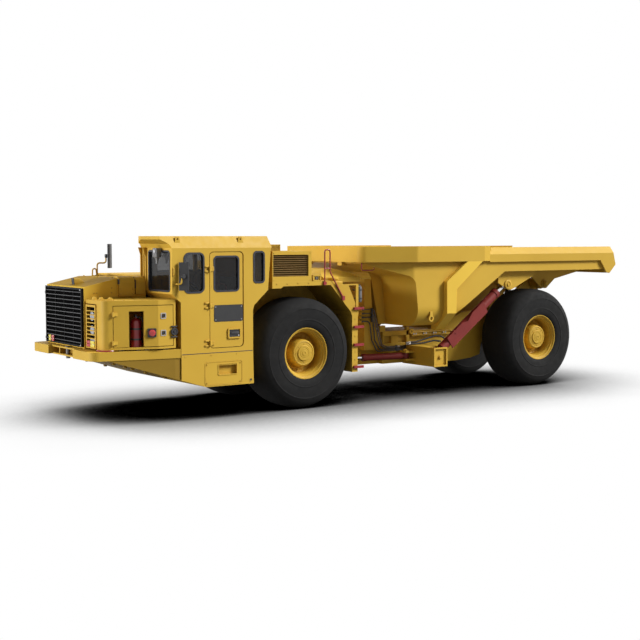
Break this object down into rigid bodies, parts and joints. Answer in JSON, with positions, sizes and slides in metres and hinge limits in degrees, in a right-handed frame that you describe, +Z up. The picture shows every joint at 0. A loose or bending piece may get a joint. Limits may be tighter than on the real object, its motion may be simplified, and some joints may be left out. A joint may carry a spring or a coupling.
{
  "type": "articulated underground mining truck",
  "caption": "Low articulated underground haul truck with a side cab, an engine in front and a tipping rear box raised by side cylinders.",
  "frame": {"origin": "on the ground, on the centreline, half way between the bumper's front face and the dump box's tail", "axes": "+X forward, +Y to the truck's left, where the cab is, +Z up"},
  "size_m": [10.62, 2.9, 2.714],
  "materials": {
    "yellow_paint": "satin enamel",
    "tyre_rubber": "matt",
    "black_paint": "satin",
    "red_paint": "satin",
    "cylinder_paint": "satin",
    "bright_steel": "machined",
    "rod_chrome": "polished",
    "window_rubber": "matt",
    "hose_rubber": "matt",
    "window_glass": "clear",
    "lamp_face": "clear",
    "seat_fabric": "woven",
    "console_plastic": "textured",
    "engine_iron": "rough"
  },
  "bodies": {
    "front_frame": {"front_chassis": "yellow_paint", "front_axle": "yellow_paint", "front_bumper": "yellow_paint", "tow_pin": "bright_steel", "belly_guard": "yellow_paint", "side_bases": "yellow_paint", "cab_shell": "yellow_paint", "cab_roof": "yellow_paint", "window_seals": "window_rubber", "cab_glass": "window_glass", "seat_base": "console_plastic", "seat_cushion": "seat_fabric", "seat_back": "seat_fabric", "control_console": "console_plastic", "engine_hood": "yellow_paint", "engine_cover": "yellow_paint", "engine_block": "engine_iron", "radiator_grille": "black_paint", "lamp_guard": "yellow_paint", "front_lamps": "lamp_face", "service_cabinet": "yellow_paint", "fire_extinguisher": "red_paint", "front_fenders": "yellow_paint", "handrails": "red_paint", "cooler_housing": "yellow_paint", "cooler_louvres": "black_paint", "air_cleaner_box": "yellow_paint", "rear_tank": "yellow_paint", "mirror_heads": "black_paint", "mirror_arms": "yellow_paint"},
    "rear_frame": {"rear_frame": "yellow_paint", "rear_axle": "yellow_paint", "frame_pins": "bright_steel", "side_brackets": "yellow_paint", "steel_pipes": "bright_steel", "hydraulic_hoses": "hose_rubber"},
    "dump_body": {"dump_box": "yellow_paint", "box_rim": "yellow_paint", "side_straps": "yellow_paint", "box_under_frame": "yellow_paint"},
    "cab_door": {"cab_door": "yellow_paint", "door_seal": "window_rubber", "door_glass": "window_glass"},
    "service_door": {"service_door": "yellow_paint"},
    "front_left_wheel": {"front_left_tyre": "tyre_rubber", "front_left_rim": "yellow_paint"},
    "front_right_wheel": {"front_right_tyre": "tyre_rubber", "front_right_rim": "yellow_paint"},
    "rear_left_wheel": {"rear_left_tyre": "tyre_rubber", "rear_left_rim": "yellow_paint"},
    "rear_right_wheel": {"rear_right_tyre": "tyre_rubber", "rear_right_rim": "yellow_paint"},
    "left_hoist_barrel": {"left_hoist_barrel": "cylinder_paint"},
    "left_hoist_rod": {"left_hoist_rod": "rod_chrome"},
    "left_steering_barrel": {"left_steering_barrel": "cylinder_paint"},
    "left_steering_rod": {"left_steering_rod": "rod_chrome"},
    "right_hoist_barrel": {"right_hoist_barrel": "cylinder_paint"},
    "right_hoist_rod": {"right_hoist_rod": "rod_chrome"},
    "right_steering_barrel": {"right_steering_barrel": "cylinder_paint"},
    "right_steering_rod": {"right_steering_rod": "rod_chrome"}
  },
  "joints": [
    {"name": "articulation", "type": "hinge", "parent": "front_frame", "child": "rear_frame", "pos_m": [0.25, 0, 0.96], "axis": [0, 0, 1], "range_deg": [-40, 40]},
    {"name": "front_left_wheel_spin", "type": "hinge", "parent": "front_frame", "child": "front_left_wheel", "pos_m": [1.75, 0.928, 0.875], "axis": [0, 1, 0], "continuous": true},
    {"name": "front_right_wheel_spin", "type": "hinge", "parent": "front_frame", "child": "front_right_wheel", "pos_m": [1.75, -0.928, 0.875], "axis": [0, 1, 0], "continuous": true},
    {"name": "rear_left_wheel_spin", "type": "hinge", "parent": "rear_frame", "child": "rear_left_wheel", "pos_m": [-3.43, 0.928, 0.875], "axis": [0, 1, 0], "continuous": true},
    {"name": "rear_right_wheel_spin", "type": "hinge", "parent": "rear_frame", "child": "rear_right_wheel", "pos_m": [-3.43, -0.928, 0.875], "axis": [0, 1, 0], "continuous": true},
    {"name": "box_tip", "type": "hinge", "parent": "rear_frame", "child": "dump_body", "pos_m": [-4.09, 0, 1.82], "axis": [0, -1, 0], "range_deg": [0, 65]},
    {"name": "left_hoist_swing", "type": "hinge", "parent": "rear_frame", "child": "left_hoist_barrel", "pos_m": [-1.07, 1.15, 0.72], "axis": [0, -1, 0], "range_deg": [-8.95, 0]},
    {"name": "left_hoist_extend", "type": "slide", "parent": "left_hoist_barrel", "child": "left_hoist_rod", "axis": [-0.8081, 0, 0.589], "range_m": [0, 1.5171]},
    {"name": "right_hoist_swing", "type": "hinge", "parent": "rear_frame", "child": "right_hoist_barrel", "pos_m": [-1.07, -1.15, 0.72], "axis": [0, -1, 0], "range_deg": [-8.95, 0]},
    {"name": "right_hoist_extend", "type": "slide", "parent": "right_hoist_barrel", "child": "right_hoist_rod", "axis": [-0.8081, 0, 0.589], "range_m": [0, 1.5171]},
    {"name": "left_steering_swing", "type": "hinge", "parent": "rear_frame", "child": "left_steering_barrel", "pos_m": [-0.77, 0.66, 0.645], "axis": [0, 0, 1], "range_deg": [-5.42, 5.42]},
    {"name": "left_steering_extend", "type": "slide", "parent": "left_steering_barrel", "child": "left_steering_rod", "axis": [0.9839, -0.1789, 0], "range_m": [-0.3098, 0.3098]},
    {"name": "right_steering_swing", "type": "hinge", "parent": "rear_frame", "child": "right_steering_barrel", "pos_m": [-0.77, -0.66, 0.645], "axis": [0, 0, 1], "range_deg": [-5.42, 5.42]},
    {"name": "right_steering_extend", "type": "slide", "parent": "right_steering_barrel", "child": "right_steering_rod", "axis": [0.9839, 0.1789, 0], "range_m": [-0.3098, 0.3098]},
    {"name": "cab_door_swing", "type": "hinge", "parent": "front_frame", "child": "cab_door", "pos_m": [3.515, 1.318, 1.69], "axis": [0, 0, -1], "range_deg": [0, 90]},
    {"name": "service_door_swing", "type": "hinge", "parent": "front_frame", "child": "service_door", "pos_m": [4.989, 1.118, 1.4], "axis": [0, 0, -1], "range_deg": [0, 90]}
  ],
  "couplings": [
    {"joint": "left_hoist_swing", "follows": "box_tip", "ratio": -0.13756},
    {"joint": "left_hoist_extend", "follows": "box_tip", "m_per_rad": 1.3372},
    {"joint": "right_hoist_swing", "follows": "box_tip", "ratio": -0.13756},
    {"joint": "right_hoist_extend", "follows": "box_tip", "m_per_rad": 1.3372},
    {"joint": "left_steering_swing", "follows": "articulation", "ratio": -0.13525},
    {"joint": "left_steering_extend", "follows": "articulation", "m_per_rad": 0.44357},
    {"joint": "right_steering_swing", "follows": "articulation", "ratio": -0.13525},
    {"joint": "right_steering_extend", "follows": "articulation", "m_per_rad": -0.44357}
  ]
}
